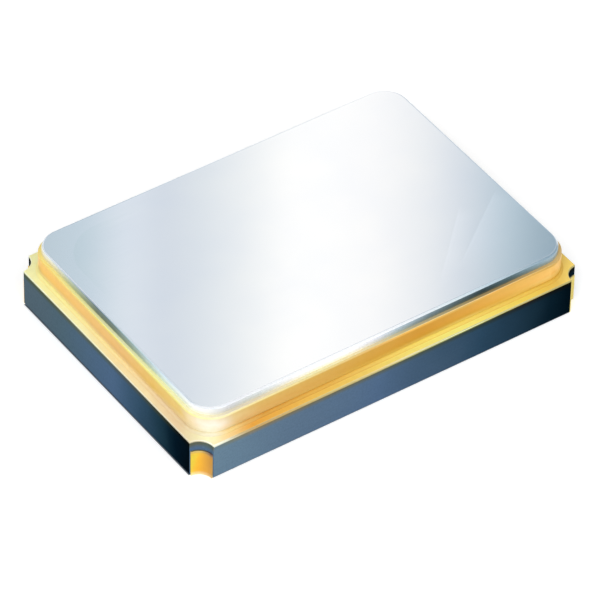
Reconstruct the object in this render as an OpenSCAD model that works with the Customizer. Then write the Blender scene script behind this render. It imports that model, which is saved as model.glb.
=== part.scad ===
// Crystal clock oscillator in a seam-sealed ceramic surface-mount package.
// Millimetres, +Z up, X along the long side, origin at the bottom centre of the solder pads.
// Corners are numbered 1 to 4 counter-clockwise from the -X -Y corner, seen from above.

/* [Package body] */
// Length of the ceramic body along X
body_l = 7; // [6.6:0.1:8.4]
// Width of the ceramic body along Y
body_w = 5; // [4.6:0.1:6]
// Thickness of the wall round the cavity
wall = 0.7; // [0.64:0.01:0.84]
// Radius of the cavity's upright corners
cavity_r = 0.3; // [0.1:0.05:0.4]
// Radius of the upright corners of the chip's recess and of the opening between the steps
recess_r = 0.15; // [0.05:0.05:0.25]
// Radius of the quarter-round castellation at each corner
notch_r = 0.25; // [0.2:0.01:0.32]

/* [Ceramic layers] */
// Thickness of the floor layer
floor_t = 0.15; // [0.1:0.01:0.3]
// Thickness of the layer round the chip, up to the bond shelf
bond_layer_t = 0.18; // [0.15:0.01:0.22]
// Thickness of the layer with the steps that the crystal stands on
step_layer_t = 0.13; // [0.1:0.01:0.2]
// Thickness of the top frame layer
frame_layer_t = 0.16; // [0.14:0.01:0.3]

/* [Seal] */
// Thickness of the printed and plated seal frame
seal_t = 0.03; // [0.01:0.005:0.04]
// Setback of the seal frame from the cavity edge
seal_setback = 0.03; // [0.01:0.005:0.035]
// Width of the flange outside the ring
flange_w = 0.135; // [0.1:0.005:0.2]
// Ledge between the cavity edge and the inside of the ring
ledge_w = 0.075; // [0.075:0.005:0.12]
// Height of the seal ring
ring_h = 0.3; // [0.15:0.01:0.4]
// Outside corner radius of the seal ring
ring_r = 0.45; // [0.35:0.05:0.6]
// Thickness of the braze under the ring
braze_t = 0.05; // [0.02:0.005:0.06]
// Radius of the braze fillets at the foot of the ring
braze_fillet = 0.04; // [0.015:0.005:0.04]

/* [Lid] */
// Thickness of the lid
lid_t = 0.13; // [0.08:0.01:0.25]
// Distance from the outside of the ring to the side of the lid
lid_inset = 0.055; // [0.03:0.005:0.1]
// Radius of the lid's rounded top edge
lid_edge_r = 0.035; // [0.02:0.005:0.05]

/* [Terminals] */
// Length of a solder pad along X
pad_l = 1.4; // [1:0.1:1.6]
// Width of a solder pad along Y
pad_w = 1.1; // [0.8:0.05:1.2]
// Distance from the end of the body to the solder pads
pad_setback_x = 0.26; // [0.1:0.01:0.26]
// Distance from the side of the body to the solder pads
pad_setback_y = 0.1; // [0.05:0.01:0.15]
// Thickness of the pads and of the castellation plating
plating_t = 0.02; // [0.01:0.005:0.03]
// Width of the collar of plating round a castellation, under the body
collar_w = 0.1; // [0.05:0.01:0.15]
// Distance from the outer faces of the body to the collars
collar_setback = 0.05; // [0.02:0.01:0.08]
// Corner cut that marks solder pad 1
index_cut = 0.3; // [0.15:0.05:0.5]

/* [Traces] */
// Thickness of the traces and bond fingers
trace_t = 0.015; // [0.01:0.001:0.02]
// Width of the traces
trace_w = 0.16; // [0.1:0.01:0.2]
// Length of a bond finger, away from the chip
finger_l = 0.34; // [0.3:0.01:0.36]
// Width of a bond finger
finger_w = 0.26; // [0.18:0.01:0.3]
// Setback of the bond fingers from the chip's recess
finger_setback = 0.08; // [0.04:0.01:0.1]
// Distance of the four outer bond fingers from the middle, along X
finger_x = 0.55; // [0.4:0.05:0.7]
// Distance of the two crystal bond fingers from the middle, along Y
side_finger_y = 0.3; // [0.2:0.05:0.4]
// Radius of the vias
via_r = 0.06; // [0.04:0.005:0.08]
// Distance of the ground via from the two outer faces of its corner
ground_via_inset = 0.6; // [0.55:0.01:0.65]

/* [Chip] */
// Length of the chip's recess
recess_l = 2.1; // [1.9:0.05:2.2]
// Width of the chip's recess
recess_w = 1.7; // [1.5:0.05:1.8]
// Length of the chip
die_l = 1.3; // [1.2:0.05:1.5]
// Width of the chip
die_w = 1.1; // [1:0.05:1.2]
// Thickness of the chip
die_t = 0.15; // [0.12:0.01:0.18]
// Thickness of the adhesive under the chip
attach_t = 0.015; // [0.01:0.005:0.02]
// Height of the adhesive fillet round the chip
attach_fillet = 0.05; // [0.03:0.01:0.08]
// Thickness of the printed pad under the chip
die_pad_t = 0.012; // [0.008:0.001:0.015]
// Margin of the printed pad round the chip
die_pad_margin = 0.15; // [0.1:0.01:0.2]
// Side of a square contact on the chip
contact_size = 0.09; // [0.08:0.005:0.1]
// Thickness of a contact on the chip
contact_t = 0.004; // [0.002:0.001:0.006]
// Distance from the chip's edge to the middle of its contacts
contact_inset = 0.1; // [0.07:0.01:0.12]
// Distance of the four outer contacts from the middle, along X
contact_x = 0.42; // [0.3:0.02:0.5]
// Distance of the two crystal contacts from the middle, along Y
side_contact_y = 0.18; // [0.12:0.01:0.25]

/* [Bond wires] */
// Diameter of the bond wire
wire_d = 0.025; // [0.018:0.001:0.03]
// Straight rise of a wire above its ball
wire_rise = 0.05; // [0.03:0.005:0.06]
// Radius of the bend at the top of a wire
bend_r = 0.04; // [0.025:0.005:0.05]
// Diameter of the ball on the chip
ball_d = 0.07; // [0.05:0.005:0.08]
// Height of the ball
ball_h = 0.015; // [0.01:0.001:0.02]
// Radius of the stitch on the finger
stitch_r = 0.03; // [0.02:0.005:0.04]
// Thickness of the stitch
stitch_t = 0.006; // [0.004:0.001:0.01]

/* [Crystal] */
// Length of each step under the crystal's ends
step_l = 0.9; // [0.85:0.05:0.95]
// Gap between the mounted end of the blank and the cavity wall
blank_gap_mount = 0.33; // [0.3:0.01:0.4]
// Gap between the free end of the blank and the cavity wall
blank_gap_free = 0.67; // [0.2:0.01:0.85]
// Gap at each side of the blank
blank_gap_side = 0.5; // [0.2:0.05:0.7]
// Thickness of the quartz blank
blank_t = 0.083; // [0.05:0.001:0.11]
// Thickness of the electrodes
electrode_t = 0.006; // [0.004:0.001:0.01]
// Length of the electrodes over the middle of the blank
electrode_l = 2.6; // [1.8:0.1:3]
// Width of the electrodes over the middle of the blank
electrode_w = 1.7; // [1.3:0.1:1.8]
// Radius of the electrodes' corners
electrode_r = 0.2; // [0.1:0.05:0.4]
// Width of the tab that joins an electrode to its adhesive dot
tab_w = 0.5; // [0.4:0.05:0.6]
// Length of the patch under the blank where the top electrode's tab ends
tab_l = 0.4; // [0.3:0.05:0.5]
// Side of a square mounting pad
mount_size = 0.62; // [0.6:0.01:0.66]
// Gap between a mounting pad and the blank, filled by adhesive
dot_gap = 0.03; // [0.02:0.005:0.05]
// Radius of an adhesive dot where it stands on its pad
dot_r = 0.28; // [0.22:0.01:0.29]
// Height of an adhesive dot above the top of the blank
dot_cap = 0.047; // [0.032:0.001:0.067]
// Distance from the mounted end of the blank to the middle of its adhesive dots
dot_inset_x = 0.09; // [0.05:0.01:0.12]
// Distance from the side of the blank to the middle of its adhesive dots
dot_inset_y = 0.45; // [0.35:0.01:0.5]

/* [Hidden] */
$fn = 64;
tiny = 0.01;

// levels, from the bottom of the solder pads
z_floor = plating_t;
z_recess = z_floor + floor_t;
z_shelf = z_recess + bond_layer_t;
z_step = z_shelf + step_layer_t;
z_top = z_step + frame_layer_t;
z_seal = z_top + seal_t;
z_ring = z_seal + braze_t;
z_lid = z_ring + ring_h;

// cavity, steps and crystal
cavity_l = body_l - 2 * wall;
cavity_w = body_w - 2 * wall;
window_l = cavity_l - 2 * step_l;
blank_l = cavity_l - blank_gap_mount - blank_gap_free;
blank_w = cavity_w - 2 * blank_gap_side;
blank_x = blank_gap_mount - cavity_l / 2;
mount_x = blank_x + dot_inset_x;
mount_y = blank_w / 2 - dot_inset_y;
z_blank = z_step + trace_t + dot_gap;
dot_h = dot_gap + blank_t + dot_cap;
electrode_x = blank_x + blank_l / 2;

// ring and lid
ring_l = body_l - 2 * flange_w;
ring_w = body_w - 2 * flange_w;
bore_l = cavity_l + 2 * ledge_w;
bore_w = cavity_w + 2 * ledge_w;
bore_r = cavity_r + ledge_w;
lid_l = ring_l - 2 * lid_inset;
lid_w = ring_w - 2 * lid_inset;
lid_r = ring_r - lid_inset;

// bond fingers, contacts and wires
finger_y = recess_w / 2 + finger_setback + finger_l / 2;
side_finger_x = recess_l / 2 + finger_setback + finger_l / 2;
contact_y = die_w / 2 - contact_inset;
side_contact_x = die_l / 2 - contact_inset;
z_die = z_recess + die_pad_t + attach_t;
z_contact = z_die + die_t;
wire_lap = 0.003;
bend_d = wire_d * 1.04;

// the direction of each corner from the middle
corner = [[-1, -1], [1, -1], [1, 1], [-1, 1]];
ground_corner = 2;

function body_corner(k) = [corner[k - 1].x * body_l / 2, corner[k - 1].y * body_w / 2];
function finger(k) = [corner[k - 1].x * finger_x, corner[k - 1].y * finger_y];
function contact(k) = [corner[k - 1].x * contact_x, corner[k - 1].y * contact_y];

// where a 45 degree line from corner k reaches the row of bond fingers
function lead_elbow(k) = [
    corner[k - 1].x * (body_l / 2 - (body_w / 2 - finger_y)),
    corner[k - 1].y * finger_y,
];

// side 1 of the crystal is -Y and side 2 is +Y
function side(n) = n == 1 ? -1 : 1;
function side_finger(n) = [-side_finger_x, side(n) * side_finger_y];
function side_contact(n) = [-side_contact_x, side(n) * side_contact_y];
function mount_point(n) = [mount_x, side(n) * mount_y];
function side_elbow(n) = [mount_x + mount_y - side_finger_y, side(n) * side_finger_y];

// rectangle with rounded corners, centred
module round_rect(l, w, r) {
    square([l - 2 * r, w], center = true);
    square([l, w - 2 * r], center = true);
    for (c = corner)
        translate([c.x * (l / 2 - r), c.y * (w / 2 - r)])
            circle(r);
}

// sweeps a profile round a rounded rectangle; the profile's x starts at the corner's centre
module sweep_round_rect(l, w, r) {
    for (k = [1 : 4]) {
        translate([corner[k - 1].x * (l / 2 - r), corner[k - 1].y * (w / 2 - r), 0])
            rotate([0, 0, 90 * (k + 1)])
                rotate_extrude(angle = 90)
                    children();
        side_length = k % 2 == 1 ? l - 2 * r : w - 2 * r;
        side_offset = k % 2 == 1 ? w / 2 - r : l / 2 - r;
        rotate([0, 0, 90 * (k - 1)])
            translate([-side_length / 2, side_offset, 0])
                rotate([90, 0, 90])
                    linear_extrude(side_length)
                        children();
    }
}

// square corner less a quarter circle, the section of a concave fillet of radius r
module fillet_section(r) {
    difference() {
        square(r);
        translate([r, r])
            circle(r);
    }
}

// centred box standing on z = 0
module block(l, w, h) {
    translate([-l / 2, -w / 2, 0])
        cube([l, w, h]);
}

// strip of a printed trace through all the points
module trace_path(points) {
    for (i = [0 : len(points) - 2]) {
        run = points[i + 1] - points[i];
        translate(points[i])
            rotate(atan2(run.y, run.x))
                translate([0, -trace_w / 2])
                    square([norm(run), trace_w]);
    }
    for (p = points)
        translate(p)
            circle(trace_w / 2);
}

module body_outline() {
    difference() {
        square([body_l, body_w], center = true);
        for (k = [1 : 4])
            translate(body_corner(k))
                circle(notch_r);
    }
}

// printed trace from castellation k to its bond finger
module lead_shape(k) {
    translate([0, 0, z_shelf])
        linear_extrude(trace_t)
            difference() {
                union() {
                    trace_path([body_corner(k), lead_elbow(k), finger(k)]);
                    translate(finger(k))
                        square([finger_w, finger_l], center = true);
                }
                translate(body_corner(k))
                    circle(notch_r);
            }
}

// bond finger, trace, via and mounting pad on side n of the crystal
module crystal_lead_shape(n) {
    translate([0, 0, z_shelf])
        linear_extrude(trace_t) {
            trace_path([side_finger(n), side_elbow(n), mount_point(n)]);
            translate(side_finger(n))
                square([finger_l, finger_w], center = true);
        }
    translate([mount_point(n).x, mount_point(n).y, z_shelf])
        cylinder(r = via_r, h = step_layer_t + tiny);
    translate([mount_point(n).x, mount_point(n).y, z_step])
        block(mount_size, mount_size, trace_t);
}

module ground_via_shape() {
    spot = body_corner(ground_corner) - corner[ground_corner - 1] * ground_via_inset;
    translate([spot.x, spot.y, z_shelf + trace_t])
        cylinder(r = via_r, h = z_top - z_shelf - trace_t);
}

module ceramic_base() {
    color("#39465a")
        difference() {
            translate([0, 0, z_floor])
                linear_extrude(z_top - z_floor)
                    body_outline();
            translate([0, 0, z_recess])
                linear_extrude(z_top)
                    round_rect(recess_l, recess_w, recess_r);
            translate([0, 0, z_shelf])
                linear_extrude(z_top)
                    round_rect(window_l, cavity_w, recess_r);
            translate([0, 0, z_step])
                linear_extrude(z_top)
                    round_rect(cavity_l, cavity_w, cavity_r);
            for (k = [1 : 4])
                lead_shape(k);
            for (n = [1 : 2])
                crystal_lead_shape(n);
            ground_via_shape();
        }
}

// frame printed on the ceramic, flush with the outside of the body
module seal_metallization() {
    color("#e8c15a")
        translate([0, 0, z_top])
            linear_extrude(seal_t)
                difference() {
                    body_outline();
                    round_rect(cavity_l + 2 * seal_setback, cavity_w + 2 * seal_setback,
                               cavity_r + seal_setback);
                }
}

// layer under the ring, with a fillet outside and inside
module braze_joint() {
    color("#d9b060") {
        translate([0, 0, z_seal])
            linear_extrude(braze_t)
                difference() {
                    round_rect(ring_l, ring_w, ring_r);
                    round_rect(bore_l, bore_w, bore_r);
                }
        translate([0, 0, z_seal])
            sweep_round_rect(ring_l, ring_w, ring_r)
                translate([ring_r, 0])
                    fillet_section(braze_fillet);
        translate([0, 0, z_seal])
            sweep_round_rect(bore_l, bore_w, bore_r)
                translate([bore_r, 0])
                    mirror([1, 0])
                        fillet_section(braze_fillet);
    }
}

module seal_ring() {
    color("#e0a845")
        translate([0, 0, z_ring])
            linear_extrude(ring_h)
                difference() {
                    round_rect(ring_l, ring_w, ring_r);
                    round_rect(bore_l, bore_w, bore_r);
                }
}

// flat plate with a rounded top edge
module lid() {
    color("#d3dbe2")
        translate([0, 0, z_lid]) {
            linear_extrude(lid_t - lid_edge_r)
                round_rect(lid_l, lid_w, lid_r);
            linear_extrude(lid_t)
                round_rect(lid_l - 2 * lid_edge_r, lid_w - 2 * lid_edge_r, lid_r - lid_edge_r);
            sweep_round_rect(lid_l, lid_w, lid_r)
                translate([lid_r - lid_edge_r, lid_t - lid_edge_r])
                    intersection() {
                        circle(lid_edge_r);
                        square(lid_edge_r);
                    }
        }
}

// outline of solder pad k; the inner corner of pad 1 is cut as an index mark
module pad_outline(k) {
    x = corner[k - 1].x * (body_l / 2 - pad_setback_x - pad_l / 2);
    y = corner[k - 1].y * (body_w / 2 - pad_setback_y - pad_w / 2);
    difference() {
        translate([x, y])
            square([pad_l, pad_w], center = true);
        if (k == 1)
            translate([x + pad_l / 2, y + pad_w / 2])
                rotate(45)
                    square(index_cut * sqrt(2), center = true);
    }
}

// solder pad with the plating of its castellation
module terminal(k) {
    color("#f0bb45") {
        linear_extrude(plating_t)
            difference() {
                union() {
                    pad_outline(k);
                    intersection() {
                        square([body_l - 2 * collar_setback, body_w - 2 * collar_setback],
                               center = true);
                        translate(body_corner(k))
                            circle(notch_r + collar_w);
                    }
                }
                translate(body_corner(k))
                    circle(notch_r - plating_t);
            }
        translate([body_corner(k).x, body_corner(k).y, 0])
            rotate([0, 0, 90 * (k - 1)])
                rotate_extrude(angle = 90)
                    translate([notch_r - plating_t, 0])
                        square([plating_t, z_step]);
    }
}

module lead(k) {
    color("#e6c067")
        lead_shape(k);
}

module crystal_lead(n) {
    color("#e6c067")
        crystal_lead_shape(n);
}

module ground_via() {
    color("#8d8f94")
        ground_via_shape();
}

module die_pad() {
    color("#e6c067")
        translate([0, 0, z_recess])
            block(die_l + 2 * die_pad_margin, die_w + 2 * die_pad_margin, die_pad_t);
}

// adhesive under the chip, with a sloping fillet round its foot
module die_attach() {
    color("#b9bcc0")
        translate([0, 0, z_recess + die_pad_t]) {
            block(die_l, die_w, attach_t);
            sweep_round_rect(die_l, die_w, 0)
                polygon([[0, 0], [attach_fillet, 0], [0, attach_fillet]]);
        }
}

module oscillator_die() {
    color("#4a5264")
        translate([0, 0, z_die])
            block(die_l, die_w, die_t);
}

module die_bond_pads() {
    color("#c9ccd1") {
        for (k = [1 : 4])
            translate([contact(k).x, contact(k).y, z_contact])
                block(contact_size, contact_size, contact_t);
        for (n = [1 : 2])
            translate([side_contact(n).x, side_contact(n).y, z_contact])
                block(contact_size, contact_size, contact_t);
    }
}

// ball on the chip, straight rise, bend and slope down to a stitch on the finger
module bond_wire(from, to) {
    z_ball = z_contact + contact_t;
    z_stitch = z_shelf + trace_t;
    run = to - from;
    span = norm(run);
    drop = z_ball + wire_rise - z_stitch;
    reach = norm([span - bend_r, drop]);
    slope = atan2(drop, span - bend_r) + asin(bend_r / reach);
    slope_l = sqrt(reach * reach - bend_r * bend_r);
    tail = wire_d / sin(slope);
    color("#f0c64f")
        translate([from.x, from.y, 0])
            rotate([0, 0, atan2(run.y, run.x)]) {
                translate([0, 0, z_ball])
                    cylinder(d = ball_d, h = ball_h);
                translate([0, 0, z_ball + ball_h / 2])
                    cylinder(d = wire_d, h = wire_rise - ball_h / 2 + wire_lap);
                translate([bend_r, 0, z_ball + wire_rise])
                    rotate([90, 0, 0])
                        rotate_extrude(angle = 90 + slope, start = 90 - slope)
                            translate([bend_r, 0])
                                circle(d = bend_d);
                difference() {
                    translate([bend_r * (1 + sin(slope)), 0, z_ball + wire_rise + bend_r * cos(slope)])
                        rotate([0, 90 + slope, 0])
                            translate([0, 0, -wire_lap])
                                cylinder(d = wire_d, h = wire_lap + slope_l + tail);
                    translate([0, -wire_d, z_stitch - 2 * wire_d])
                        cube([2 * span, 2 * wire_d, 2 * wire_d]);
                }
                translate([span, 0, z_stitch])
                    cylinder(r = stitch_r, h = stitch_t);
            }
}

module blank_block() {
    translate([blank_x, -blank_w / 2, z_blank])
        cube([blank_l, blank_w, blank_t]);
}

module quartz_blank() {
    color("#dfe9ee", 0.6)
        blank_block();
}

// middle area and the tab that runs from it out to side n and on to the mounted end
module electrode_area(n) {
    tab_run = blank_l / 2 - electrode_l / 4;
    translate([electrode_x, 0])
        round_rect(electrode_l, electrode_w, electrode_r);
    translate([blank_x, side(n) * mount_y - tab_w / 2])
        square([tab_run, tab_w]);
    translate([blank_x + tab_run - tab_w, n == 1 ? -mount_y : 0])
        square([tab_w, mount_y]);
}

module electrode_bottom_shape() {
    translate([0, 0, z_blank - electrode_t])
        linear_extrude(electrode_t)
            electrode_area(1);
}

// the tab wraps round the end of the blank to a patch on the underside
module electrode_top_shape() {
    translate([0, 0, z_blank + blank_t])
        linear_extrude(electrode_t)
            electrode_area(2);
    translate([blank_x - electrode_t, mount_y - tab_w / 2, z_blank - electrode_t])
        cube([electrode_t, tab_w, blank_t + 2 * electrode_t]);
    translate([blank_x - electrode_t, mount_y - tab_w / 2, z_blank - electrode_t])
        cube([tab_l, tab_w, electrode_t]);
}

module electrode_bottom() {
    color("#e9d9a0")
        electrode_bottom_shape();
}

module electrode_top() {
    color("#e9d9a0")
        electrode_top_shape();
}

// domed dot on mounting pad n that grips the end of the blank
module adhesive_dot(n) {
    dome_r = (dot_r * dot_r + dot_h * dot_h) / (2 * dot_h);
    z_pad = z_step + trace_t;
    color("#9ea3a8")
        difference() {
            translate([mount_point(n).x, mount_point(n).y, z_pad + dot_h - dome_r])
                sphere(dome_r);
            translate([mount_point(n).x, mount_point(n).y, z_pad - 2 * dome_r])
                block(4 * dome_r, 4 * dome_r, 2 * dome_r);
            blank_block();
            if (n == 1)
                electrode_bottom_shape();
            if (n == 2)
                electrode_top_shape();
        }
}

ceramic_base();
seal_metallization();
braze_joint();
seal_ring();
lid();
terminal(1);  // terminal_1
terminal(2);  // terminal_2
terminal(3);  // terminal_3
terminal(4);  // terminal_4
lead(1);  // lead_1
lead(2);  // lead_2
lead(3);  // lead_3
lead(4);  // lead_4
crystal_lead(1);  // crystal_lead_1
crystal_lead(2);  // crystal_lead_2
ground_via();
die_pad();
die_attach();
oscillator_die();
die_bond_pads();
bond_wire(contact(1), finger(1));  // bond_wire_1
bond_wire(contact(2), finger(2));  // bond_wire_2
bond_wire(contact(3), finger(3));  // bond_wire_3
bond_wire(contact(4), finger(4));  // bond_wire_4
bond_wire(side_contact(1), side_finger(1));  // bond_wire_5
bond_wire(side_contact(2), side_finger(2));  // bond_wire_6
adhesive_dot(1);  // adhesive_dot_1
adhesive_dot(2);  // adhesive_dot_2
quartz_blank();
electrode_bottom();
electrode_top();
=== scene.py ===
import math

import bmesh
import bpy
from mathutils import Matrix, Vector


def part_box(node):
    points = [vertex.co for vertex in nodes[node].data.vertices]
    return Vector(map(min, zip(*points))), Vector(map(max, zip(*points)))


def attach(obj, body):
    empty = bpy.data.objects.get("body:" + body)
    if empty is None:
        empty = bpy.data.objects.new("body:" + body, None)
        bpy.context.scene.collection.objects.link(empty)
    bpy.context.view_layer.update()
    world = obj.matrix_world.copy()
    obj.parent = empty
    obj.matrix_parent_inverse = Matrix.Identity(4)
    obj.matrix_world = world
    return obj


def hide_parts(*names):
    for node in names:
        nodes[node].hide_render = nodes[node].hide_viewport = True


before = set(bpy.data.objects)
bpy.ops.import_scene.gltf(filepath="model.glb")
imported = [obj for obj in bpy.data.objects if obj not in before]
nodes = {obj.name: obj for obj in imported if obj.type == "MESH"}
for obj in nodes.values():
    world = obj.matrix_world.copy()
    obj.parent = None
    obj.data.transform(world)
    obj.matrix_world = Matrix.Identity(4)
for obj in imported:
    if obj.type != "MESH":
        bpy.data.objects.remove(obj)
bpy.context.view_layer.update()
MM = 0.001  # metres

# ---------------------------------------------------------------- sizes, in millimetres


def extent(node):
    """Length, width, lowest point and highest point of a CAD node."""
    lo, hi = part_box(node)
    return (hi.x - lo.x) / MM, (hi.y - lo.y) / MM, lo.z / MM, hi.z / MM


def grown(outline, by):
    """A rounded rectangle (length, width, corner radius) with its sides moved out."""
    length, width, radius = outline
    return length + 2 * by, width + 2 * by, radius + by


BODY_L, BODY_W, Z_FLOOR, _ = extent("ceramic_base")
_, _, Z_TOP, Z_SEAL = extent("seal_metallization")
BRAZE_L, _, _, _ = extent("braze_joint")
RING_L, RING_W, Z_RING, Z_RING_TOP = extent("seal_ring")
LID_L, LID_W, Z_LID, Z_LID_TOP = extent("lid")
_, _, _, Z_PLATED = extent("terminal_1")
_, _, Z_SHELF, _ = extent("lead_1")
_, _, Z_RECESS, _ = extent("die_pad")
_, _, Z_DOT, _ = extent("adhesive_dot_1")
# the adhesive dots stand on printed pads of this thickness, on the upper step of the cavity
PRINTED_PAD = 0.015
Z_STEP = Z_DOT - PRINTED_PAD

# radius of the body's corner notches, thickness of the pads and their plating, and the cut of pad 1's corner
NOTCH_R, PLATING, INDEX_CUT = 0.25, 0.02, 0.3
# corner radii in plan of the lid, the ring, the cavity and the steps down in it
LID_R, RING_R, CAVITY_R, STEP_R = 0.395, 0.45, 0.3, 0.15
# radii of the rounded long edges, and width of the plating's bevel
LID_EDGE, FLANGE_EDGE, EDGE, PLATING_EDGE = 0.035, 0.013, 0.012, 0.007
# width of the ceramic wall, and how far the ring and the printed frame stay back from the cavity
WALL, LEDGE, SEAL_SETBACK = 0.7, 0.075, 0.03
# length of the upper step at each end of the cavity, and length and width of the recess for the chip
STEP_L, RECESS_L, RECESS_W = 0.9, 2.1, 1.7
FILLET = (BRAZE_L - RING_L) / 2
LID = (LID_L, LID_W, LID_R)
CAVITY = (BODY_L - 2 * WALL, BODY_W - 2 * WALL, CAVITY_R)
RING_OUTSIDE = (RING_L, RING_W, RING_R)
RING_INSIDE = grown(CAVITY, LEDGE)

# ---------------------------------------------------------------- shader helpers

# direction in plan from the -X +Y corner to the +X -Y corner, and a little over half the way between them
ACROSS, REACH = (0.815, -0.579), 4.4


def srgb(code):
    """Linear colour of a six-digit sRGB code."""
    out = []
    for i in (0, 2, 4):
        c = int(code[i : i + 2], 16) / 255
        out.append(c / 12.92 if c <= 0.04045 else ((c + 0.055) / 1.055) ** 2.4)
    return (*out, 1.0)


class Value:
    """A number that a material works out at each point. Arithmetic with it adds Math nodes."""

    def __init__(self, shader, socket):
        self.shader = shader
        self.socket = socket

    def __add__(self, other):
        return self.shader.math("ADD", self, other)

    def __sub__(self, other):
        return self.shader.math("SUBTRACT", self, other)

    def __rsub__(self, other):
        return self.shader.math("SUBTRACT", other, self)

    def __mul__(self, other):
        return self.shader.math("MULTIPLY", self, other)

    def __truediv__(self, other):
        return self.shader.math("DIVIDE", self, other)

    def __abs__(self):
        return self.shader.math("ABSOLUTE", self)


class Shader:
    """A material with short calls for its nodes. Lengths in the patterns are in millimetres."""

    def __init__(self, name):
        self.mat = bpy.data.materials.new(name)
        self.mat.use_nodes = True
        self.tree = self.mat.node_tree
        self.tree.nodes.clear()
        self.out = self.add("ShaderNodeOutputMaterial")
        coords = self.add("ShaderNodeTexCoord")
        scale = self.add("ShaderNodeVectorMath", operation="SCALE")
        self.put(coords.outputs["Object"], scale.inputs[0])
        self.put(1 / MM, scale.inputs["Scale"])
        self.mm = scale.outputs[0]
        self.x, self.y, self.z = self.split(self.mm)
        self.nx, self.ny, self.nz = self.split(coords.outputs["Normal"])

    def add(self, kind, **settings):
        node = self.tree.nodes.new(kind)
        for key, value in settings.items():
            setattr(node, key, value)
        return node

    def put(self, value, socket):
        """Links a value or another socket to a socket, or sets its constant."""
        if isinstance(value, Value):
            value = value.socket
        if isinstance(value, bpy.types.NodeSocket):
            self.tree.links.new(value, socket)
        else:
            socket.default_value = value

    def split(self, vector):
        node = self.add("ShaderNodeSeparateXYZ")
        self.put(vector, node.inputs[0])
        return [Value(self, socket) for socket in node.outputs]

    def math(self, operation, *values):
        node = self.add("ShaderNodeMath", operation=operation)
        for value, socket in zip(values, node.inputs):
            self.put(value, socket)
        return Value(self, node.outputs[0])

    def least(self, a, b):
        return self.math("MINIMUM", a, b)

    def most(self, a, b):
        return self.math("MAXIMUM", a, b)

    def distance(self, a, b):
        return self.math("SQRT", a * a + b * b)

    def span(self, value, lo, hi, to_lo=0.0, to_hi=1.0):
        """Goes from to_lo to to_hi while value goes from lo to hi, and stays level beyond them."""
        node = self.add("ShaderNodeMapRange")
        for part, socket in zip((value, lo, hi, to_lo, to_hi), node.inputs):
            self.put(part, socket)
        return Value(self, node.outputs[0])

    def dot(self, direction):
        """Distance along a direction in plan."""
        return self.x * direction[0] + self.y * direction[1]

    def along(self, wander=0.0):
        """0 to 1 across the object, from its -X +Y corner to its +X -Y corner."""
        place = self.span(self.dot(ACROSS), -REACH, REACH)
        if wander:
            place = place + self.span(self.noise(1.4), 0.3, 0.7, -wander, wander)
        return place

    def noise(self, scale, detail=2.0, rough=0.5, stretch=(1, 1, 1)):
        mapping = self.add("ShaderNodeMapping")
        self.put(self.mm, mapping.inputs["Vector"])
        self.put(stretch, mapping.inputs["Scale"])
        node = self.add("ShaderNodeTexNoise")
        self.put(mapping.outputs[0], node.inputs["Vector"])
        self.put(scale, node.inputs["Scale"])
        self.put(detail, node.inputs["Detail"])
        self.put(rough, node.inputs["Roughness"])
        return Value(self, node.outputs["Fac"])

    def cells(self, scale):
        node = self.add("ShaderNodeTexVoronoi")
        self.put(self.mm, node.inputs["Vector"])
        self.put(scale, node.inputs["Scale"])
        return Value(self, node.outputs["Distance"])

    def ramp(self, value, tones):
        """Colour at value between tones (position, sRGB code)."""
        node = self.add("ShaderNodeValToRGB")
        stops = node.color_ramp.elements
        while len(stops) > 1:
            stops.remove(stops[-1])
        stops[0].position, stops[0].color = tones[0][0], srgb(tones[0][1])
        for position, code in tones[1:]:
            stops.new(position).color = srgb(code)
        self.put(value, node.inputs[0])
        return node.outputs[0]

    def mix(self, factor, a, b, blend="MIX"):
        """Colour between a and b. The node takes colours at its inputs 6 and 7, and gives one at output 2."""
        node = self.add("ShaderNodeMix", data_type="RGBA", blend_type=blend)
        self.put(factor, node.inputs[0])
        self.put(a, node.inputs[6])
        self.put(b, node.inputs[7])
        return node.outputs[2]

    def bump(self, height, depth):
        node = self.add("ShaderNodeBump")
        self.put(0.5, node.inputs["Strength"])
        self.put(depth * MM, node.inputs["Distance"])
        self.put(height, node.inputs["Height"])
        return node.outputs[0]

    def surface(self, **sockets):
        """Ends the material in a Principled surface with these sockets, and returns it."""
        node = self.add("ShaderNodeBsdfPrincipled")
        for key, value in sockets.items():
            self.put(value, node.inputs[key.replace("_", " ")])
        self.put(node.outputs[0], self.out.inputs[0])
        return self.mat


# ---------------------------------------------------------------- materials of the visible pieces


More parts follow.
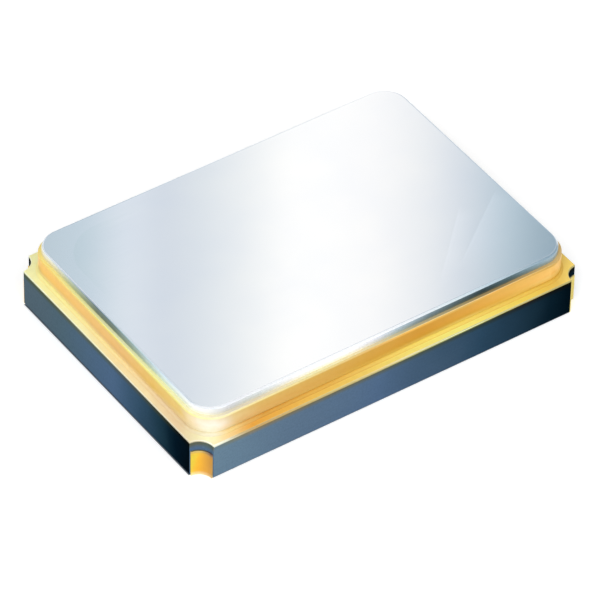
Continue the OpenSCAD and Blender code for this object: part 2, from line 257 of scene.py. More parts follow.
def lid_metal():
    """Satin nickel, with painted highlight streaks, a painted highlight near one corner, and painted
    reflections on its rounded edge and sides.
    """
    # painted reflections along the rounded edge, light and dark in turn
    edge_reflection_tones = [
        (0.07, "f2fbfd"), (0.115, "bccedc"), (0.155, "a2b4c6"), (0.195, "b2ccd4"), (0.235, "cee6ea"),
        (0.275, "d8eaf6"), (0.33, "f0f4fa"), (0.41, "f1f1f3"), (0.47, "f8f9fa"), (0.54, "ffffff"),
        (0.62, "ffffff"), (0.69, "f2f4f7"), (0.76, "e0ebef"), (0.82, "c6d7e1"),
        (0.875, "acbec8"), (0.92, "90a7b5"),
    ]
    # painted reflections along the sides, pale in some stretches and near black in others
    side_reflection_tones = [
        (0.02, "f6efd6"), (0.08, "e9e6cc"), (0.115, "b0bea8"), (0.16, "5c6e6c"), (0.19, "607470"),
        (0.225, "8ea49e"), (0.28, "d8eaf0"), (0.33, "f6f8f4"), (0.35, "f0f0ec"), (0.37, "dcdcda"),
        (0.39, "cdced0"), (0.41, "ccd0ce"), (0.44, "d2d8d8"), (0.47, "e6e8e8"), (0.5, "f6f6fa"),
        (0.58, "ffffff"), (0.625, "e0e2e8"), (0.67, "a8bac4"), (0.72, "6c7f88"), (0.76, "4c6066"),
        (0.81, "0c3038"), (0.86, "446068"), (0.9, "7c96a2"), (0.98, "b8c8d0"),
    ]
    # start, end, width and strength of each painted highlight streak
    glints = [((3.2, -0.6), (1.6, -1.8), 0.9, 0.9), ((2.5, -0.62), (1.15, -1.95), 0.3, 0.6)]
    # distance from the lid's sides, corner radius and half the softness of the line where the tint starts
    inset, corner, soft = 0.25, 0.75, 0.015

    s = Shader("lid_nickel")
    grain = s.noise(1.0, 4, 0.6, stretch=(0.35, 26, 26))
    pits = s.cells(14.0)
    tone = s.ramp(s.noise(0.9), [(0.3, "f5f6f7"), (0.7, "f9f9f8")])
    # a painted highlight, lighter and warmer than the rest, outside its line and only near the -X +Y corner
    out_x = s.most(abs(s.x) - (LID_L / 2 - inset - corner), 0.0)
    out_y = s.most(abs(s.y) - (LID_W / 2 - inset - corner), 0.0)
    corner_highlight = s.span(s.distance(out_x, out_y), corner - soft, corner + soft) * s.span(s.along(), 0.2, 0.1)
    tone = s.mix(corner_highlight * 0.8, tone, srgb("fffcfd"))
    # painted highlight streaks across the lid
    for start, end, width, strength in glints:
        run = Vector(end) - Vector(start)
        ahead, aside = run.normalized(), Vector((-run.y, run.x)).normalized()
        place = s.span(s.dot(ahead), ahead.dot(start), ahead.dot(end))
        off = s.dot(aside) - aside.dot(start)
        glint = s.span(off, -0.01, 0.015) * s.span(off, width, 0.02)
        ends = s.span(place, 0.0, 0.12) * s.span(place, 1.0, 0.6)
        tone = s.mix(glint * ends * strength, tone, srgb("ffffff"))
    # painted reflections on the rounded edge, which is pale all along the +X and +Y sides
    edge = s.mix(s.span(s.nx + s.ny, 0.0, 0.2), s.ramp(s.along(), edge_reflection_tones), srgb("f2f6f9"))
    # painted reflections on the sides: the foot of each side has a painted reflection of the gold ring, and
    # the sides that face -X stay dark further up
    side = s.ramp(s.along(), side_reflection_tones)
    side = s.mix(s.span(s.z, Z_LID + 0.045, Z_LID + 0.01), side, srgb("565646"), "ADD")
    steep = s.span(s.nx, -0.1, -0.3, 0.975, 0.8)
    level = s.span(s.nx, -0.1, -0.3, 0.998, 0.95)
    upward = s.span(s.nz, steep, level)
    turned = s.span(s.nx, -0.3, -0.6, 0.15, 0.5)
    tone = s.mix(s.span(s.nz, turned, turned + 0.25), side, s.mix(upward, edge, tone))
    return s.surface(
        Base_Color=tone,
        Metallic=s.span(upward, 0.0, 1.0, 0.45, 1.0),
        Roughness=s.span(upward, 0.0, 1.0, 0.3, s.span(grain, 0.3, 0.7, 0.07, 0.1)),
        Normal=s.bump(grain - s.span(pits, 0.0, 0.12, 0.3, 0.0), 0.0001),
    )


def gold(name, side, edge, top, bands, rough, metallic, scale, depth):
    """Satin plated gold. side, edge and top are its tones across the object on upright, bevelled and level
    faces, where edge and top may be None; they hold painted light, shade and highlights. Each band is (height
    of full strength, height of none, strength, tones) on the upright faces. metallic is the share of metal on
    upright and on level faces, and scale and depth are those of the grain."""
    upright, level = metallic
    s = Shader(name)
    speckle = s.noise(scale, 3, 0.6)
    place = s.along(0.01)
    tone = s.ramp(place, side)
    for full, none, strength, tones in bands:
        tone = s.mix(s.span(s.z, none, full, 0.0, strength), tone, s.ramp(place, tones))
    if edge:
        tone = s.mix(s.span(s.nz, 0.1, 0.35), tone, s.ramp(place, edge))
    if top:
        tone = s.mix(s.span(s.nz, 0.85, 0.98), tone, s.ramp(place, top))
    tone = s.mix(s.span(speckle, 0.4, 0.75, 0.0, 0.09), tone, srgb("c0923a"))
    return s.surface(
        Base_Color=tone,
        Metallic=upright if upright == level else s.span(s.nz, 0.3, 0.7, upright, level),
        Roughness=s.span(speckle, 0.3, 0.7, rough - 0.04, rough + 0.05),
        Normal=s.bump(s.cells(scale * 3) * 0.8 + speckle, depth),
    )


def ring_gold():
    """The seal ring's plating, warmer in painted shade under the lid and paler at its foot, with painted
    highlights and reflections along it.
    """
    # the side, edge and top tones hold painted light, shade and highlights along the ring
    side = [
        (0.08, "fcc866"), (0.2, "efc077"), (0.26, "eec660"), (0.31, "eed07a"), (0.34, "fcf0da"),
        (0.37, "f8f2e6"), (0.4, "e2c688"), (0.45, "d8ae5c"), (0.6, "d09f3a"), (0.71, "cd901c"),
        (0.8, "dca138"), (0.87, "e8b452"), (0.95, "fac870"),
    ]
    edge = [
        (0.05, "ffd868"), (0.14, "ffee80"), (0.2, "fff880"), (0.27, "fffa98"), (0.36, "f8f0c4"),
        (0.4, "ecdfbc"), (0.45, "e4d2a4"), (0.53, "e0d08c"), (0.6, "dcc078"), (0.7, "f0d084"),
        (0.78, "eecc90"), (0.84, "f0ca88"), (0.89, "e4bc70"), (0.95, "ccaa62"),
    ]
    top = [
        (0.05, "ffe684"), (0.1, "ffee98"), (0.14, "fffab0"), (0.2, "fffec8"), (0.26, "fff8b0"),
        (0.36, "f8f0c8"), (0.4, "e6dac0"), (0.45, "eadabc"), (0.53, "f0e6b0"), (0.6, "eedcac"),
        (0.7, "c6b890"), (0.78, "b8a472"), (0.83, "a88e60"), (0.89, "d0aa6c"), (0.95, "d8b674"),
    ]
    warm = [
        (0.06, "f6c85c"), (0.2, "e0be50"), (0.3, "e2c452"), (0.36, "d8bc60"), (0.45, "c8b04c"),
        (0.6, "c89c28"), (0.7, "c28c10"), (0.8, "cc9c30"), (0.9, "dcb048"),
    ]
    lip = [
        (0.05, "f8d060"), (0.14, "f6d878"), (0.18, "f0e464"), (0.22, "f4ee80"), (0.26, "f6fa8c"),
        (0.32, "fffd98"), (0.38, "fff6bc"), (0.47, "f8f0b0"), (0.55, "eede9c"), (0.63, "e6bc74"),
        (0.7, "f6bc50"), (0.78, "ceb060"), (0.83, "eeb24c"), (0.89, "d09e44"), (0.95, "b08c2c"),
    ]
    low = [
        (0.05, "e4cc9c"), (0.18, "dcb88c"), (0.26, "dcc068"), (0.31, "fcf0c8"), (0.36, "fffcf6"),
        (0.4, "ecce94"), (0.6, "d6ae50"), (0.7, "c89c38"), (0.78, "cca038"),
        (0.84, "dcac40"), (0.95, "fff0a4"),
    ]
    foot = [
        (0.06, "fffcd4"), (0.14, "fff0d0"), (0.2, "ffecc8"), (0.27, "fae2b0"), (0.31, "f2e0be"),
        (0.335, "f0ead0"), (0.365, "f4f4e6"), (0.39, "dcdcaa"), (0.42, "dccc88"), (0.45, "dcca80"),
        (0.5, "dcc878"), (0.55, "e0cc74"), (0.63, "e6ca68"), (0.7, "ecd880"), (0.78, "fcf4a0"),
        (0.84, "e8d078"), (0.9, "e8c45c"), (0.95, "f0cc60"),
    ]
    # bands on the upright faces: darker painted shade near the top, a painted reflection of the rounded top
    # edge just below it, and paler tones near the foot with a painted highlight at the front corner
    bands = (
        (Z_RING_TOP - 0.03, Z_RING_TOP - 0.15, 0.35, warm),
        (Z_RING_TOP - 0.03, Z_RING_TOP - 0.055, 0.7, lip),
        (Z_RING + 0.07, Z_RING + 0.12, 0.4, low),
        (Z_RING, Z_RING + 0.07, 0.64, foot),
    )
    grain = {"scale": 12.0, "depth": 0.0008}
    return gold("ring_gold", side, edge, top, bands, rough=0.36, metallic=(0.45, 0.1), **grain)


def braze_gold():
    """The fillet of braze between the ring and the printed frame."""
    # tones along the fillet hold painted light and shade, with a painted highlight near the front corner
    side = [
        (0.1, "fff4a6"), (0.2, "ffe6a6"), (0.28, "f2d8ac"), (0.31, "ead2a6"), (0.335, "ece0ba"),
        (0.36, "f0ead0"), (0.39, "eed28c"), (0.42, "dcae5c"), (0.45, "d49e40"), (0.55, "deb04c"),
        (0.63, "e6c45e"), (0.72, "eed668"), (0.84, "e6c65a"), (0.95, "e0b444"),
    ]
    grain = {"scale": 16.0, "depth": 0.0012}
    return gold("braze", side, None, None, (), rough=0.5, metallic=(0.3, 0.2), **grain)


def flange_gold():
    """The printed seal frame, a rougher plating than the ring's, with painted light, shade and highlights
    along it.
    """
    # painted shade on the upright side, with a painted highlight near the front corner
    side = [
        (0.05, "ccd4a6"), (0.09, "acb48a"), (0.14, "b2b68e"), (0.22, "b8b69a"), (0.28, "b4ae92"),
        (0.34, "bcb494"), (0.357, "f4f6dc"), (0.372, "f6f8dc"), (0.384, "e4e2c2"), (0.396, "d6c298"),
        (0.418, "bea472"), (0.44, "b8965a"), (0.48, "bea45e"), (0.55, "c6b26c"), (0.65, "d4c680"),
        (0.72, "d8d898"), (0.78, "ecf0b0"), (0.83, "c6c27c"), (0.89, "b2a460"), (0.95, "b0a454"),
    ]
    # a painted highlight on the bevelled edge, palest at the -X end and at the front corner
    edge = [
        (0.05, "ffffe0"), (0.14, "ffffdc"), (0.22, "f8f2d8"), (0.28, "eee6cc"), (0.32, "e8dcc0"),
        (0.36, "fffff0"), (0.41, "beaa72"), (0.48, "c2a878"), (0.55, "ccc080"), (0.63, "e2c88c"),
        (0.7, "e2d8b4"), (0.78, "c0c29c"), (0.9, "c2be8a"), (0.95, "b4aa74"),
    ]
    # painted light and shade along the level top, with a painted highlight near the front corner and painted
    # light at the +X end where the ring shades it
    top = [
        (0.05, "ffffbe"), (0.1, "ffffc4"), (0.14, "ffffcc"), (0.18, "fff0ba"), (0.25, "fff0c6"),
        (0.3, "eed6b2"), (0.33, "f2e8bc"), (0.355, "fffacc"), (0.385, "ffe2a4"), (0.43, "eeb04a"),
        (0.5, "f2c45c"), (0.6, "f6dc74"), (0.7, "fcf288"), (0.76, "fafa90"), (0.82, "faf082"),
        (0.88, "f2e06a"), (0.945, "eac85c"), (0.97, "ffe070"),
    ]
    grain = {"scale": 9.0, "depth": 0.002}
    return gold("seal_gold", side, edge, top, (), rough=0.45, metallic=(0.1, 0.12), **grain)


def terminal_gold():
    """Plating of the pads and castellations, with painted shade under the ceramic and painted light at its
    foot.
    """
    # tones along the plating, with painted shade at the right side of the front notch
    side = [
        (0.1, "f8c850"), (0.327, "e6cd38"), (0.334, "f0b428"), (0.342, "e0a430"), (0.352, "cc9430"),
        (0.358, "a88c50"), (0.362, "8e7c54"), (0.375, "b88c48"), (0.4, "de9c38"),
        (0.6, "e6ac48"), (0.93, "dcc868"),
    ]
    # painted shade on the bevel at the front notch
    edge = [
        (0.1, "ffe27a"), (0.3, "ffe898"), (0.325, "8a8054"), (0.34, "7c7048"), (0.352, "5c5058"),
        (0.362, "6a6c74"), (0.39, "ffdca0"), (0.93, "f2e29c"),
    ]
    shade = [
        (0.1, "f8c850"), (0.3, "f8c850"), (0.325, "eec040"), (0.34, "d8a630"), (0.352, "a88060"),
        (0.362, "787868"), (0.39, "de9c38"), (0.93, "dcc868"),
    ]
    rim_shade = [
        (0.1, "f8c850"), (0.3, "f8c850"), (0.325, "ccb468"), (0.334, "c8b06c"), (0.342, "a8905a"),
        (0.352, "5c4c50"), (0.362, "686c78"), (0.39, "de9c38"), (0.93, "dcc868"),
    ]
    foot = [
        (0.1, "f8dc88"), (0.3, "f8e4a0"), (0.327, "fff2cc"), (0.342, "fcecc4"), (0.352, "ecd0a0"),
        (0.362, "e0cca0"), (0.39, "f0d8a0"), (0.93, "ecdc9c"),
    ]
    # painted shade near the top of the castellation plating and darker at its top rim, and painted light at
    # its foot
    bands = (
        (Z_PLATED - 0.045, Z_PLATED - 0.1, 0.7, shade),
        (Z_PLATED - 0.02, Z_PLATED - 0.055, 0.85, rim_shade),
        (0.0, 0.08, 0.8, foot),
    )
    grain = {"scale": 10.0, "depth": 0.0015}
    return gold("terminal_gold", side, edge, None, bands, rough=0.4, metallic=(0.5, 0.5), **grain)


def fired_ceramic():
    """Dark fired alumina. Seen from outside, each side runs from slate at its left end to near black at its
    right end, in painted light and shade."""
    # painted light and shade along the sides, from slate at the left end to near black at the right
    long_side = [
        (0.0, "6a8598"), (0.25, "5c738a"), (0.45, "516a88"), (0.6, "40586f"), (0.72, "2b465c"),
        (0.86, "162c3a"), (0.91, "081c28"), (0.97, "000c14"),
    ]
    short_side = [
        (0.0, "5c6d78"), (0.25, "566f7e"), (0.42, "557089"), (0.56, "547090"), (0.64, "46637f"),
        (0.7, "37546c"), (0.78, "203c4c"), (0.82, "0e2634"), (0.86, "041826"), (0.95, "020a10"),
    ]
    long_under = [
        (0.03, "62787e"), (0.07, "78784e"), (0.13, "94780a"), (0.33, "6a6208"), (0.55, "525404"),
        (0.68, "363c02"), (0.84, "201802"), (0.92, "120e02"),
    ]
    short_under = [
        (0.14, "4f5508"), (0.38, "606234"), (0.5, "545e28"), (0.62, "54543c"),
        (0.74, "484c2a"), (0.88, "101008"),
    ]
    run = [
        (0.04, "f4f8e4"), (0.065, "f0f0dc"), (0.09, "e4dab8"), (0.12, "d0b888"), (0.16, "d8b070"),
        (0.4, "d0c080"), (0.62, "b0b072"), (0.67, "8c9258"), (0.7, "7c7f46"), (0.78, "484c20"),
        (0.85, "402e00"), (0.93, "0c0800"),
    ]
    layer = 0.155
    notch_x, notch_y = BODY_L / 2 - NOTCH_R - 0.01, BODY_W / 2 - NOTCH_R - 0.01

    s = Shader("ceramic")
    fine = s.noise(28, 3, 0.65)
    end_x = s.math("SIGN", s.x) * (s.y / BODY_W)
    end_y = s.math("SIGN", s.y) * (s.x / -BODY_L)
    faces_x = s.span(abs(s.nx) - abs(s.ny), -0.3, 0.3)
    place = s.span(faces_x, 0.0, 1.0, end_y, end_x)
    # notch walls, top and underside have no left or right end; the notch walls are painted darker at the left
    # and right corners, as shade
    notch = s.span(s.least(abs(s.x) - notch_x, abs(s.y) - notch_y), 0.0, 0.01)
    even = s.most(notch, s.span(abs(s.nz), 0.5, 0.8))
    away = s.span(abs(s.along() - 0.5), 0.3, 0.42, -0.05, 0.4)
    place = s.span(even, 0.0, 1.0, place, s.span(notch, 0.0, 1.0, -0.05, away)) + 0.5
    place = place + s.span(s.noise(0.7), 0.3, 0.7, -0.03, 0.03)
    tone = s.mix(faces_x, s.ramp(place, long_side), s.ramp(place, short_side))
    tone = s.mix(s.span(fine, 0.35, 0.7, 0.0, 0.14), tone, srgb("182430"))
    # shade under the seal frame
    under = s.mix(faces_x, s.ramp(place, long_under), s.ramp(place, short_under))
    tone = s.mix(s.span(s.z, Z_TOP - 0.11, Z_TOP - 0.04, 0.0, 0.62), tone, under)
    # a run of plating over the top edge, mostly on the long sides, with painted light and shade in its tones
    # along it
    over = s.span(s.z, Z_TOP - 0.024, Z_TOP - 0.012) * s.span(faces_x, 1.0, 0.0, 0.15, 1.0)
    over = over * s.span(even, 0.5, 0.0, 0.0, 0.8)
    tone = s.mix(over, tone, s.ramp(place, run))
    # the edges of the fired layers
    seam = s.span(abs(s.math("FRACT", s.z / layer) - 0.5), 0.47, 0.5)
    tone = s.mix(seam * 0.1, tone, srgb("0c141b"))
    return s.surface(
        Base_Color=tone,
        Roughness=s.span(fine, 0.3, 0.7, 0.5, 0.62),
        Specular_IOR_Level=0.0,
        Normal=s.bump(fine + s.cells(45.0) * 0.7 - seam * 0.5, 0.003),
    )


# ---------------------------------------------------------------- mesh helpers

# steps in the arc of a rounded corner, and in one that goes with the outline of the notched body
CORNER_STEPS = 16
NOTCHED_STEPS = CORNER_STEPS + 6
SHARP = math.radians(40)


def arc(radius, start, stop, steps, cx=0, cy=0):
    """steps + 1 points of an arc, angles in degrees."""
    turn = [math.radians(start + (stop - start) * i / steps) for i in range(steps + 1)]
    return [(cx + radius * math.cos(a), cy + radius * math.sin(a)) for a in turn]


def round_rect(length, width, radius, steps=CORNER_STEPS):
    """Outline of a rounded rectangle, counter-clockwise from the +X side."""
    points = []
    for k, (sx, sy) in enumerate(((1, 1), (-1, 1), (-1, -1), (1, -1))):
        cx, cy = sx * (length / 2 - radius), sy * (width / 2 - radius)
        points += arc(radius, 90 * k, 90 * k + 90, steps, cx, cy)
    return points


def curve_point(a, b, c, t):
    """Point t along the quadratic curve from a to c that b pulls on."""
    return tuple((1 - t) ** 2 * a[i] + 2 * t * (1 - t) * b[i] + t * t * c[i] for i in (0, 1))


def body_outline(inset=0.0):
    """Outline of the ceramic body, its sides moved in by inset: a rectangle with a quarter-round notch at
    each corner and eased notch edges. It has as many points as a round_rect of NOTCHED_STEPS."""
    half = (BODY_L / 2 - inset, BODY_W / 2 - inset)
    reach = math.degrees(EDGE / NOTCH_R)
    notch = arc(NOTCH_R, 270 - reach, 180 + reach, CORNER_STEPS)
    into, out_of = (0, -NOTCH_R - EDGE), (-NOTCH_R - EDGE, 0)
    corner = [into]
    corner += [curve_point(into, (0, -NOTCH_R), notch[0], t) for t in (0.33, 0.67)]
    corner += notch
    corner += [curve_point(notch[-1], (-NOTCH_R, 0), out_of, t) for t in (0.33, 0.67)]
    corner += [out_of]
    points = []
    for k in range(4):
        side = Matrix.Rotation(math.radians(90 * k), 2)
        half_x, half_y = half if k % 2 == 0 else half[::-1]
        points += [tuple(side @ Vector((half_x + x, half_y + y))) for x, y in corner]
    return points


def edge_rows(z, radius, way, steps=4):
    """(inset, z) points round a long edge, from the side to the flat that lies up (1) or down (-1) from z."""
    rows = []
    for i in range(steps + 1):
        a = math.radians(90 * i / steps)
        rows.append((radius * (1 - math.cos(a)), z + way * radius * math.sin(a)))
    return rows


def add_mesh(name, verts, faces, material):
    """Object from vertices in millimetres."""
    mesh = bpy.data.meshes.new(name)
    mesh.from_pydata([tuple(c * MM for c in v) for v in verts], [], faces)
    mesh.materials.append(material)
    obj = bpy.data.objects.new(name, mesh)
    bpy.context.scene.collection.objects.link(obj)
    return obj


def smooth_mesh(name, verts, faces, material):
    """Object whose faces point outwards and are shaded smooth, apart from its sharp edges."""
    obj = add_mesh(name, verts, faces, material)
    mesh = obj.data
    bm = bmesh.new()
    bm.from_mesh(mesh)
    bmesh.ops.recalc_face_normals(bm, faces=bm.faces)
    bm.to_mesh(mesh)
    bm.free()
    mesh.polygons.foreach_set("use_smooth", [True] * len(mesh.polygons))
    mesh.set_sharp_from_angle(angle=SHARP)
    weigh = obj.modifiers.new("weighted_normals", "WEIGHTED_NORMAL")
    weigh.keep_sharp = True
    return obj


def loft(name, loops, material, closed=False):
    """Skin through loops of (outline, z). A closed loft joins the last loop to the first, an open one is
    capped."""
    count, rows = len(loops[0][0]), len(loops)
    verts = [(x, y, z) for outline, z in loops for x, y in outline]
    faces = []
    for i in range(rows if closed else rows - 1):
        a, b = i * count, (i + 1) % rows * count
        for j in range(count):
            k = (j + 1) % count
            faces.append((a + j, a + k, b + k, b + j))
    if not closed:
        faces.append(tuple(range(count)))
        faces.append(tuple(range((rows - 1) * count, rows * count)))
    return smooth_mesh(name, verts, faces, material)


def dress(node, material):
    """Gives a CAD node one material."""
    node.data.materials.clear()
    node.data.materials.append(material)


def stand_in(obj, cad):
    """obj takes the place of a CAD node, which gets the same material."""
    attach(obj, "root")
    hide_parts(cad)
    dress(nodes[cad], obj.data.materials[0])


# ---------------------------------------------------------------- visible pieces


def build_ceramic():
    """The body, with its notches and its stepped cavity."""
    loops = [(body_outline(inset), z) for inset, z in edge_rows(Z_FLOOR + EDGE, EDGE, -1)[::-1]]
    loops.append((body_outline(), Z_TOP))
    cavity = round_rect(*CAVITY, NOTCHED_STEPS)
    # a hair narrower than the cavity, so that their long sides don't coincide
    window = round_rect(CAVITY[0] - 2 * STEP_L, CAVITY[1] - 0.002, STEP_R, NOTCHED_STEPS)
    recess = round_rect(RECESS_L, RECESS_W, STEP_R, NOTCHED_STEPS)
    loops += [(cavity, Z_TOP), (cavity, Z_STEP), (window, Z_STEP)]
    loops += [(window, Z_SHELF), (recess, Z_SHELF), (recess, Z_RECESS)]
    stand_in(loft("ceramic_body", loops, fired_ceramic()), "ceramic_base")


def build_flange():
    """The printed frame, with the body's notched outline outside and a rounded one inside."""
    loops = [(body_outline(), Z_TOP)]
    loops += [(body_outline(inset), z) for inset, z in edge_rows(Z_SEAL - FLANGE_EDGE, FLANGE_EDGE, 1)]
    inner = round_rect(*grown(CAVITY, SEAL_SETBACK), NOTCHED_STEPS)
    loops += [(inner, Z_SEAL), (inner, Z_TOP)]
    stand_in(loft("seal_flange", loops, flange_gold(), closed=True), "seal_metallization")


def build_braze():
    """The layer under the ring, with a hollow fillet outside and inside."""
    curve = []
    for degrees in range(0, 91, 15):
        a = math.radians(degrees)
        curve.append((FILLET * (1 - math.cos(a)), FILLET * (1 - math.sin(a))))
    loops = [(round_rect(*grown(RING_OUTSIDE, out)), Z_SEAL + up) for out, up in curve]
    loops += [(round_rect(*grown(RING_INSIDE, -out)), Z_SEAL + up) for out, up in curve[::-1]]
    loops += [(round_rect(*RING_INSIDE), Z_RING), (round_rect(*RING_OUTSIDE), Z_RING)]
    stand_in(loft("braze_fillet", loops, braze_gold(), closed=True), "braze_joint")


def build_ring():
    """The frame between braze and lid, with its four long edges rounded."""
    rows = edge_rows(Z_RING + EDGE, EDGE, -1)[::-1] + edge_rows(Z_RING_TOP - EDGE, EDGE, 1)
    loops = [(round_rect(*grown(RING_OUTSIDE, -inset)), z) for inset, z in rows]
    loops += [(round_rect(*grown(RING_INSIDE, inset)), z) for inset, z in rows[::-1]]
    stand_in(loft("seal_frame", loops, ring_gold(), closed=True), "seal_ring")


def build_lid():
    """The lid, with a rounded top edge. Two rows on the flat keep its shading level up to the edge."""
    outer_row, inner_row = LID_EDGE + 0.003, 0.2
    rows = [(0.0, Z_LID)] + edge_rows(Z_LID_TOP - LID_EDGE, LID_EDGE, 1, steps=8)
    rows += [(outer_row, Z_LID_TOP), (inner_row, Z_LID_TOP)]
    loops = [(round_rect(*grown(LID, -inset)), z) for inset, z in rows]
    stand_in(loft("lid_plate", loops, lid_metal()), "lid")


def terminal_shapes(index_cut):
    """Outlines of a castellation's plating and of its pad with collar, with the body's corner at the origin.
    index_cut takes off the pad's inner corner."""
    pad_l, pad_w, collar = 1.4, 1.1, 0.1
    # from the body's sides to the pad, to the collar and to the plating
    back_x, back_y, inset, lip = 0.26, 0.1, 0.05, 0.012
    inside, wall_r, outside = NOTCH_R - PLATING, NOTCH_R, NOTCH_R + collar

    def angle(distance, radius):
        """Angle at which an arc round the corner is that far from the body's side."""
        return math.degrees(math.asin(distance / radius))

    # the collar meets the middle of the wall arc, and the plating runs on a little past it at both ends
    first, last = angle(lip, wall_r), angle(inset, wall_r)
    middle = arc(wall_r, last, 90 - last, 14)
    wall = arc(wall_r, first, last, 2)[:-1] + middle + arc(wall_r, 90 - last, 90 - first, 2)[1:]
    film = arc(inside, 90 - angle(lip, inside), angle(lip, inside), 18) + wall

    far_x, far_y = back_x + pad_l, back_y + pad_w
    pad = arc(outside, angle(inset, outside), angle(back_y, outside), 3)
    pad += [(far_x, back_y), (far_x, far_y - index_cut)]
    if index_cut:
        pad += [(far_x - index_cut, far_y)]
    pad += [(back_x, far_y)]
    pad += arc(outside, 90 - angle(back_x, outside), 90 - angle(inset, outside), 8)
    pad += middle[::-1]
    return film, pad


def join_slabs(slabs):
    """Vertices and faces of slabs (outline, bottom, top) that join flush. Faces that two slabs share lie
    inside the metal and are left out."""

    def spot(vertex):
        return tuple(round(c, 5) for c in vertex)

    found = {}
    for outline, bottom, top in slabs:
        low, high = [(x, y, bottom) for x, y in outline], [(x, y, top) for x, y in outline]
        faces = [low, high]
        for i in range(len(outline)):
            j = (i + 1) % len(outline)
            faces.append([low[i], low[j], high[j], high[i]])
        for face in faces:
            found.setdefault(frozenset(map(spot, face)), []).append(face)
    index, verts, polygons = {}, [], []
    for same in found.values():
        if len(same) > 1:
            continue
        for vertex in same[0]:
            if spot(vertex) not in index:
                index[spot(vertex)] = len(verts)
                verts.append(vertex)
        polygons.append([index[spot(vertex)] for vertex in same[0]])
    return verts, polygons


def build_terminal(k, sx, sy, metal):
    """Pad, collar and castellation plating at the corner on the sx, sy sides."""
    film, pad = terminal_shapes(INDEX_CUT if k == 1 else 0)
    slabs = ((film, 0.0, PLATING), (film, PLATING, Z_PLATED), (pad, 0.0, PLATING))
    verts, polygons = join_slabs(slabs)
    verts = [(sx * (BODY_L / 2 - x), sy * (BODY_W / 2 - y), z) for x, y, z in verts]
    obj = smooth_mesh("terminal_plating_%d" % k, verts, polygons, metal)
    bevel = obj.modifiers.new("bevel", "BEVEL")
    bevel.width = PLATING_EDGE * MM
    bevel.segments = 2
    bevel.limit_method = "ANGLE"
    bevel.angle_limit = SHARP
    obj.modifiers.move(1, 0)
    stand_in(obj, "terminal_%d" % k)


build_ceramic()
build_flange()
build_braze()
build_ring()
build_lid()
terminal_metal = terminal_gold()
for k, (sx, sy) in enumerate(((-1, -1), (1, -1), (1, 1), (-1, 1)), 1):
    build_terminal(k, sx, sy, terminal_metal)

# ---------------------------------------------------------------- sealed pieces keep their CAD shape


def plain(name, low, high, rough, metallic, scale, depth, **extra):
    """A two-tone grain for the small pieces sealed inside."""
    s = Shader(name)
    grain = s.noise(scale, 3, 0.6)
    return s.surface(
        Base_Color=s.ramp(grain, [(0.3, low), (0.7, high)]),
        Metallic=metallic,
        Roughness=s.span(grain, 0.3, 0.7, rough - 0.05, rough + 0.05),
        Normal=s.bump(grain, depth),
        **extra,
    )


trace = plain("trace_gold", "d3a94c", "efcf7c", 0.4, 1.0, 25.0, 0.001)
clear_quartz = {"IOR": 1.54, "Transmission_Weight": 0.85}
sealed = {
    "lead_": trace,
    "crystal_lead_": trace,
    "die_pad": trace,
    "ground_via": plain("tungsten", "6c6e72", "95979b", 0.6, 0.9, 30.0, 0.002),
    "die_attach": plain("chip_adhesive", "9da0a4", "c4c6c9", 0.55, 0.6, 18.0, 0.004),
    "oscillator_die": plain("silicon", "39404e", "535b6c", 0.18, 0.3, 12.0, 0.0002),
    "die_bond_pads": plain("contact_metal", "bfc3c8", "d8dade", 0.3, 1.0, 40.0, 0.0005),
    "bond_wire_": plain("wire_gold", "e8b83f", "f8d566", 0.2, 1.0, 60.0, 0.0003),
    "adhesive_dot_": plain("crystal_adhesive", "85898e", "adb1b5", 0.5, 0.5, 16.0, 0.006),
    "quartz_blank": plain("quartz", "e6eff2", "f2f7f8", 0.06, 0.0, 8.0, 0.0001, **clear_quartz),
    "electrode_": plain("electrode_gold", "dcc88a", "efdfae", 0.15, 1.0, 20.0, 0.0001),
}
for name, node in nodes.items():
    for start, material in sealed.items():
        if name.startswith(start):
            dress(node, material)

# ---------------------------------------------------------------- floor, reflector, world, lights

# the main view: its direction and roll in degrees, distance, lens and sensor in millimetres, and how far
# right of and above the middle of the body's foot it is aimed
AZIMUTH, ELEVATION, ROLL = -35.374, 42.064, 1.128
DISTANCE, LENS, SENSOR = 84.499, 334.78, 36
AIM_RIGHT, AIM_UP = 0.0135, -0.0029


def direction(azimuth, elevation):
    """Unit vector from the object to a place at these angles, in degrees. Azimuth 0 is on its -Y side."""
    a, e = math.radians(azimuth), math.radians(elevation)
    return Vector((math.sin(a) * math.cos(e), -math.cos(a) * math.cos(e), math.sin(e)))


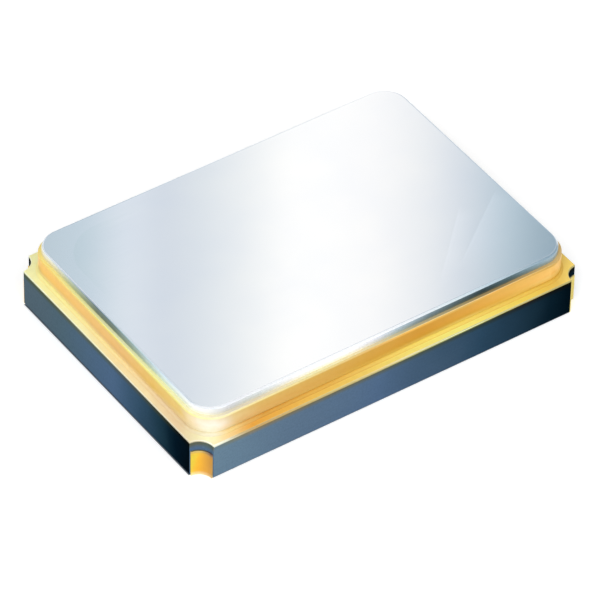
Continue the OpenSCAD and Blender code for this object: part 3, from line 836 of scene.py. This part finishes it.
def floor_material():
    """White to the camera and to reflections, and a pale paint that takes the object's shadow."""
    s = Shader("floor")
    path = s.add("ShaderNodeLightPath").outputs
    seen = s.most(s.most(path["Is Camera Ray"], path["Is Glossy Ray"]), path["Is Transmission Ray"])
    # contact shadow: under the body, and a dark line that stands out from its two ends by these widths
    dim, dark, soft = 0.022, 0.016, 0.002
    from_x, from_y = BODY_L / 2 - abs(s.x), BODY_W / 2 - abs(s.y)
    beside_notch = s.span(s.distance(from_x, from_y), NOTCH_R, NOTCH_R + 0.02)
    inside = s.least(s.span(from_y, 0.01, 0.03), beside_notch)
    seen = seen * (1.0 - s.least(s.span(from_x, -dim, soft), inside))
    touching = s.least(s.span(from_x, -dark, soft), inside)
    paint = s.add("ShaderNodeBsdfDiffuse")
    s.put(s.mix(touching, (0.86, 0.865, 0.87, 1), (0.1, 0.13, 0.16, 1)), paint.inputs["Color"])
    # the glow grows to full white away from the object, so that the floor meets the white world unseen
    glow = s.add("ShaderNodeEmission")
    s.put((1, 1, 1, 1), glow.inputs["Color"])
    s.put(seen * s.span(s.distance(s.x, s.y), 12, 30, 0.4, 1.0), glow.inputs["Strength"])
    both = s.add("ShaderNodeAddShader")
    s.put(paint.outputs[0], both.inputs[0])
    s.put(glow.outputs[0], both.inputs[1])
    s.put(both.outputs[0], s.out.inputs[0])
    return s.mat


def build_floor():
    """A square floor, 1 m wide, at the foot of the object."""
    half = 500
    corners = [(-half, -half, 0), (half, -half, 0), (half, half, 0), (-half, half, 0)]
    add_mesh("floor", corners, [(0, 1, 2, 3)], floor_material())


def reflected_light():
    """Light in waves round the object, each dim at its ends and bright in its middle. The middle of one is
    opposite the main view."""
    tones = [
        (0.0, "8ea2b4"), (0.1, "93a9b8"), (0.17, "b4c6d2"), (0.24, "d5dce5"), (0.31, "edeff2"),
        (0.38, "fafafb"), (0.46, "ffffff"), (0.52, "ffffff"), (0.58, "eef1f3"), (0.66, "dae1e8"),
        (0.72, "cfd7e2"), (0.78, "dee5ee"), (0.85, "bbcdd8"), (0.92, "b7c8d1"), (1.0, "8ea2b4"),
    ]
    wave = 30  # degrees
    start = 90 + AZIMUTH - wave / 2

    s = Shader("reflector")
    turn = s.math("ARCTAN2", s.y, s.x) - math.radians(start)
    place = s.math("FRACT", turn / math.radians(wave) + 360 / wave)
    glow = s.add("ShaderNodeEmission")
    s.put(s.ramp(place, tones), glow.inputs["Color"])
    s.put(1.08, glow.inputs["Strength"])
    s.put(glow.outputs[0], s.out.inputs[0])
    return s.mat


def build_reflector():
    """A wall of soft light round the object, seen only in reflections. It gives flat metal a gradient."""
    radius, bottom, top, count = 25, 2, 50, 120
    outline = arc(radius, 0, 360 - 360 / count, count - 1)
    verts = [(x, y, z) for z in (bottom, top) for x, y in outline]
    faces = [(i, (i + 1) % count, count + (i + 1) % count, count + i) for i in range(count)]
    wall = add_mesh("reflector", verts, faces, reflected_light())
    wall.visible_camera = False
    wall.visible_diffuse = False
    wall.visible_shadow = False
    wall.visible_transmission = False


def white_world():
    """White to the camera and to reflections, and half as strong where it lights a dull surface."""
    world = bpy.data.worlds.new("studio")
    bpy.context.scene.world = world
    world.use_nodes = True
    tree = world.node_tree
    background = tree.nodes["Background"]
    background.inputs["Color"].default_value = (1, 1, 1, 1)
    path = tree.nodes.new("ShaderNodeLightPath")
    strength = tree.nodes.new("ShaderNodeMapRange")
    strength.inputs["To Min"].default_value = 1.0
    strength.inputs["To Max"].default_value = 0.5
    tree.links.new(path.outputs["Is Diffuse Ray"], strength.inputs["Value"])
    tree.links.new(strength.outputs[0], background.inputs["Strength"])


def soft_light(name, azimuth, elevation, distance, side, share):
    """Square soft light aimed at the object, sizes in metres. share is the part of full white that it adds to
    a surface facing it."""
    back = direction(azimuth, elevation)
    data = bpy.data.lights.new(name, "AREA")
    data.shape = "SQUARE"
    data.size = side
    data.energy = share * (math.pi * distance) ** 2
    obj = bpy.data.objects.new(name, data)
    bpy.context.scene.collection.objects.link(obj)
    obj.location = back * distance
    obj.rotation_mode = "QUATERNION"
    obj.rotation_quaternion = back.to_track_quat("Z", "Y")
    obj.visible_glossy = False


build_floor()
build_reflector()
white_world()
soft_light("key", -54, 42, distance=0.12, side=0.05, share=0.38)
soft_light("fill", -3, 35, distance=0.12, side=0.08, share=0.36)

# ---------------------------------------------------------------- camera


def add_camera():
    """The main view."""
    a, roll = math.radians(AZIMUTH), math.radians(ROLL)
    back = direction(AZIMUTH, ELEVATION)
    level = Vector((math.cos(a), math.sin(a), 0))
    upright = back.cross(level)
    right = level * math.cos(roll) + upright * math.sin(roll)
    up = upright * math.cos(roll) - level * math.sin(roll)
    aim = Vector((0, 0, Z_FLOOR)) + right * AIM_RIGHT + up * AIM_UP
    camera = bpy.data.objects.new("camera", bpy.data.cameras.new("camera"))
    bpy.context.scene.collection.objects.link(camera)
    camera.data.lens = LENS
    camera.data.sensor_width = SENSOR
    camera.data.clip_start, camera.data.clip_end = 0.001, 10
    camera.rotation_mode = "QUATERNION"
    facing = Matrix((right, up, back)).transposed().to_4x4()
    camera.matrix_world = Matrix.Translation((aim + back * DISTANCE) * MM) @ facing
    bpy.context.scene.camera = camera


add_camera()
bpy.context.scene.view_settings.view_transform = "Standard"
